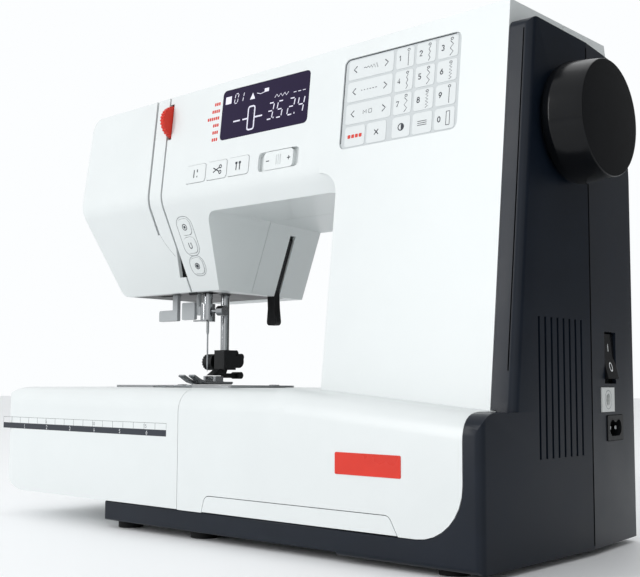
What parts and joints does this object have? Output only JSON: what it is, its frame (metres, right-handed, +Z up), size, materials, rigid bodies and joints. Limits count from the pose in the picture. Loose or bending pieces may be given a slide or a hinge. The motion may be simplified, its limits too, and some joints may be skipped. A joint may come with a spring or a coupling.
{
  "type": "sewing machine",
  "caption": "Computerised domestic sewing machine with a slide-off extension table, stitch display, keypad, side handwheel and a working needle, presser and hook mechanism.",
  "frame": {"origin": "centre of the overall box, on the surface the machine stands on", "axes": "+X from the needle end to the handwheel, +Y from the operator to the back, +Z up"},
  "size_m": [0.41, 0.171, 0.292],
  "materials": {
    "white_plastic": "satin white moulded casing",
    "dark_plastic": "fine-textured anthracite moulding",
    "black_plastic": "satin black",
    "red_plastic": "glossy red",
    "grey_plastic": "light grey",
    "display": "dark indigo display window",
    "keypad_film": "printed light grey membrane",
    "clear_plastic": "clear moulding",
    "steel": "ground steel",
    "bright_steel": "polished steel",
    "cast_metal": "die-cast",
    "brass": "machined",
    "rubber": "moulded rubber",
    "board": "green circuit board"
  },
  "bodies": {
    "casing": {"front_housing": "white_plastic", "rear_housing": "white_plastic", "face_cover": "white_plastic", "base_tray": "dark_plastic", "side_cover_front": "dark_plastic", "side_cover_rear": "dark_plastic", "arm_frame": "cast_metal", "needle_plate": "steel", "display_window": "display", "keypad": "keypad_film", "main_board": "board", "motor": "steel", "motor_belt": "rubber", "shaft_bushings": "brass", "timing_belt": "rubber", "bobbin_case": "black_plastic", "foot_control_socket": "grey_plastic", "mains_inlet": "black_plastic", "winder_stop": "white_plastic", "spool_pin": "grey_plastic", "rubber_feet": "rubber", "housing_screws": "steel"},
    "upper_drive": {"main_shaft": "steel", "drive_pulley": "black_plastic", "needle_crank": "steel", "handwheel": "black_plastic"},
    "lower_drive": {"lower_shaft": "steel", "lower_pulley": "black_plastic", "hook_drive_gear": "steel"},
    "motor_rotor": {"motor_pulley": "brass"},
    "hook": {"rotary_hook": "steel"},
    "bobbin": {"bobbin": "clear_plastic"},
    "feed": {"feed_dog": "steel"},
    "bobbin_cover": {"bobbin_cover": "clear_plastic"},
    "needle_drive": {"needle_bar": "bright_steel", "needle_clamp": "bright_steel", "needle": "bright_steel"},
    "connecting_rod": {"connecting_rod": "steel"},
    "take_up_lever": {"take_up_lever": "steel"},
    "presser": {"presser_bar": "bright_steel", "foot_holder": "black_plastic", "holder_screw": "black_plastic"},
    "presser_foot": {"presser_foot": "bright_steel"},
    "presser_lifter": {"presser_lifter": "black_plastic"},
    "needle_threader": {"needle_threader": "grey_plastic"},
    "buttonhole_lever": {"buttonhole_lever": "grey_plastic"},
    "tension_dial": {"tension_dial": "red_plastic"},
    "needle_button": {"needle_button": "white_plastic"},
    "cutter_button": {"cutter_button": "white_plastic"},
    "twin_needle_button": {"twin_needle_button": "white_plastic"},
    "lock_button": {"lock_button": "white_plastic"},
    "reverse_button": {"reverse_button": "white_plastic"},
    "start_button": {"start_button": "white_plastic"},
    "speed_knob": {"speed_knob": "white_plastic"},
    "power_rocker": {"power_rocker": "black_plastic"},
    "carry_handle": {"carry_handle": "white_plastic"},
    "winder_spindle": {"winder_spindle": "grey_plastic"},
    "chart_tray": {"chart_tray": "white_plastic"},
    "extension_table": {"extension_table": "white_plastic"},
    "accessory_lid": {"accessory_lid": "white_plastic"}
  },
  "joints": [
    {"name": "handwheel_turn", "type": "hinge", "parent": "casing", "child": "upper_drive", "pos_m": [0.06, -0.0019, 0.221], "axis": [1, 0, 0], "continuous": true},
    {"name": "lower_shaft_turn", "type": "hinge", "parent": "casing", "child": "lower_drive", "pos_m": [0.02, -0.0019, 0.054], "axis": [1, 0, 0], "continuous": true},
    {"name": "motor_turn", "type": "hinge", "parent": "casing", "child": "motor_rotor", "pos_m": [0.138, 0.046, 0.095], "axis": [1, 0, 0], "continuous": true},
    {"name": "hook_turn", "type": "hinge", "parent": "casing", "child": "hook", "pos_m": [-0.093, -0.0175, 0.07], "axis": [0, 0, 1], "continuous": true},
    {"name": "bobbin_turn", "type": "hinge", "parent": "casing", "child": "bobbin", "pos_m": [-0.093, -0.0175, 0.075], "axis": [0, 0, 1], "continuous": true},
    {"name": "feed_drop", "type": "slide", "parent": "casing", "child": "feed", "axis": [0, 0, 1], "range_m": [-0.003, 0]},
    {"name": "bobbin_cover_slide", "type": "slide", "parent": "casing", "child": "bobbin_cover", "axis": [0, -1, 0], "range_m": [0, 0.025]},
    {"name": "needle_bar_slide", "type": "slide", "parent": "casing", "child": "needle_drive", "axis": [0, 0, 1], "range_m": [-0.028, 0]},
    {"name": "connecting_rod_swing", "type": "hinge", "parent": "needle_drive", "child": "connecting_rod", "pos_m": [-0.0873, 0.0005, 0.195], "axis": [1, 0, 0], "range_deg": [-20, 20]},
    {"name": "take_up_swing", "type": "hinge", "parent": "casing", "child": "take_up_lever", "pos_m": [-0.106, 0.012, 0.245], "axis": [1, 0, 0], "range_deg": [-20, 45]},
    {"name": "presser_bar_lift", "type": "slide", "parent": "casing", "child": "presser", "axis": [0, 0, 1], "range_m": [0, 0.006]},
    {"name": "presser_foot_pitch", "type": "hinge", "parent": "presser", "child": "presser_foot", "pos_m": [-0.093, 0.006, 0.0908], "axis": [1, 0, 0], "range_deg": [-1.5, 1.5]},
    {"name": "presser_lifter_swing", "type": "hinge", "parent": "casing", "child": "presser_lifter", "pos_m": [-0.09, 0.0495, 0.172], "axis": [0, -1, 0], "range_deg": [0, 60]},
    {"name": "threader_slide", "type": "slide", "parent": "casing", "child": "needle_threader", "axis": [0, 0, -1], "range_m": [0, 0.022], "stiffness_N_per_m": 60, "springref_m": -0.005},
    {"name": "buttonhole_lever_slide", "type": "slide", "parent": "casing", "child": "buttonhole_lever", "axis": [0, 0, -1], "range_m": [0, 0.025]},
    {"name": "tension_dial_turn", "type": "hinge", "parent": "casing", "child": "tension_dial", "pos_m": [-0.091, -0.0337, 0.2598], "axis": [1, 0, 0], "range_deg": [-150, 150]},
    {"name": "needle_button_press", "type": "slide", "parent": "casing", "child": "needle_button", "axis": [0, 0.994, -0.1093], "range_m": [0, 0.0015], "stiffness_N_per_m": 300, "springref_m": -0.002},
    {"name": "cutter_button_press", "type": "slide", "parent": "casing", "child": "cutter_button", "axis": [0, 0.994, -0.1093], "range_m": [0, 0.0015], "stiffness_N_per_m": 300, "springref_m": -0.002},
    {"name": "twin_needle_button_press", "type": "slide", "parent": "casing", "child": "twin_needle_button", "axis": [0, 0.994, -0.1093], "range_m": [0, 0.0015], "stiffness_N_per_m": 300, "springref_m": -0.002},
    {"name": "lock_button_press", "type": "slide", "parent": "casing", "child": "lock_button", "axis": [0, 0.9013, 0.4332], "range_m": [0, 0.0015], "stiffness_N_per_m": 300, "springref_m": -0.002},
    {"name": "reverse_button_press", "type": "slide", "parent": "casing", "child": "reverse_button", "axis": [0, 0.9013, 0.4332], "range_m": [0, 0.0015], "stiffness_N_per_m": 300, "springref_m": -0.002},
    {"name": "start_button_press", "type": "slide", "parent": "casing", "child": "start_button", "axis": [0, 0.9013, 0.4332], "range_m": [0, 0.0015], "stiffness_N_per_m": 300, "springref_m": -0.002},
    {"name": "speed_slide", "type": "slide", "parent": "casing", "child": "speed_knob", "axis": [1, 0, 0], "range_m": [-0.0038, 0.0038]},
    {"name": "power_rocker_tilt", "type": "hinge", "parent": "casing", "child": "power_rocker", "pos_m": [0.17247, 0.04587, 0.102], "axis": [0.1054, -0.9944, 0], "range_deg": [0, 16]},
    {"name": "carry_handle_fold", "type": "hinge", "parent": "casing", "child": "carry_handle", "pos_m": [0.065, 0.03, 0.2735], "axis": [1, 0, 0], "range_deg": [0, 90]},
    {"name": "winder_spindle_turn", "type": "hinge", "parent": "casing", "child": "winder_spindle", "pos_m": [0.128, 0.002, 0.28], "axis": [0, 0, 1], "continuous": true},
    {"name": "chart_tray_slide", "type": "slide", "parent": "casing", "child": "chart_tray", "axis": [0, -1, 0], "range_m": [0, 0.085]},
    {"name": "table_slide", "type": "slide", "parent": "casing", "child": "extension_table", "axis": [-1, 0, 0], "range_m": [0, 0.15]},
    {"name": "accessory_lid_swing", "type": "hinge", "parent": "extension_table", "child": "accessory_lid", "pos_m": [-0.11, 0.0836, 0.027], "axis": [-1, 0, 0], "range_deg": [0, 90]}
  ],
  "couplings": [
    {"joint": "lower_shaft_turn", "follows": "handwheel_turn", "ratio": 1},
    {"joint": "motor_turn", "follows": "handwheel_turn", "ratio": 4.2857},
    {"joint": "hook_turn", "follows": "handwheel_turn", "ratio": -2},
    {"joint": "presser_lifter_swing", "follows": "presser_bar_lift", "rad_per_m": 174.53}
  ]
}
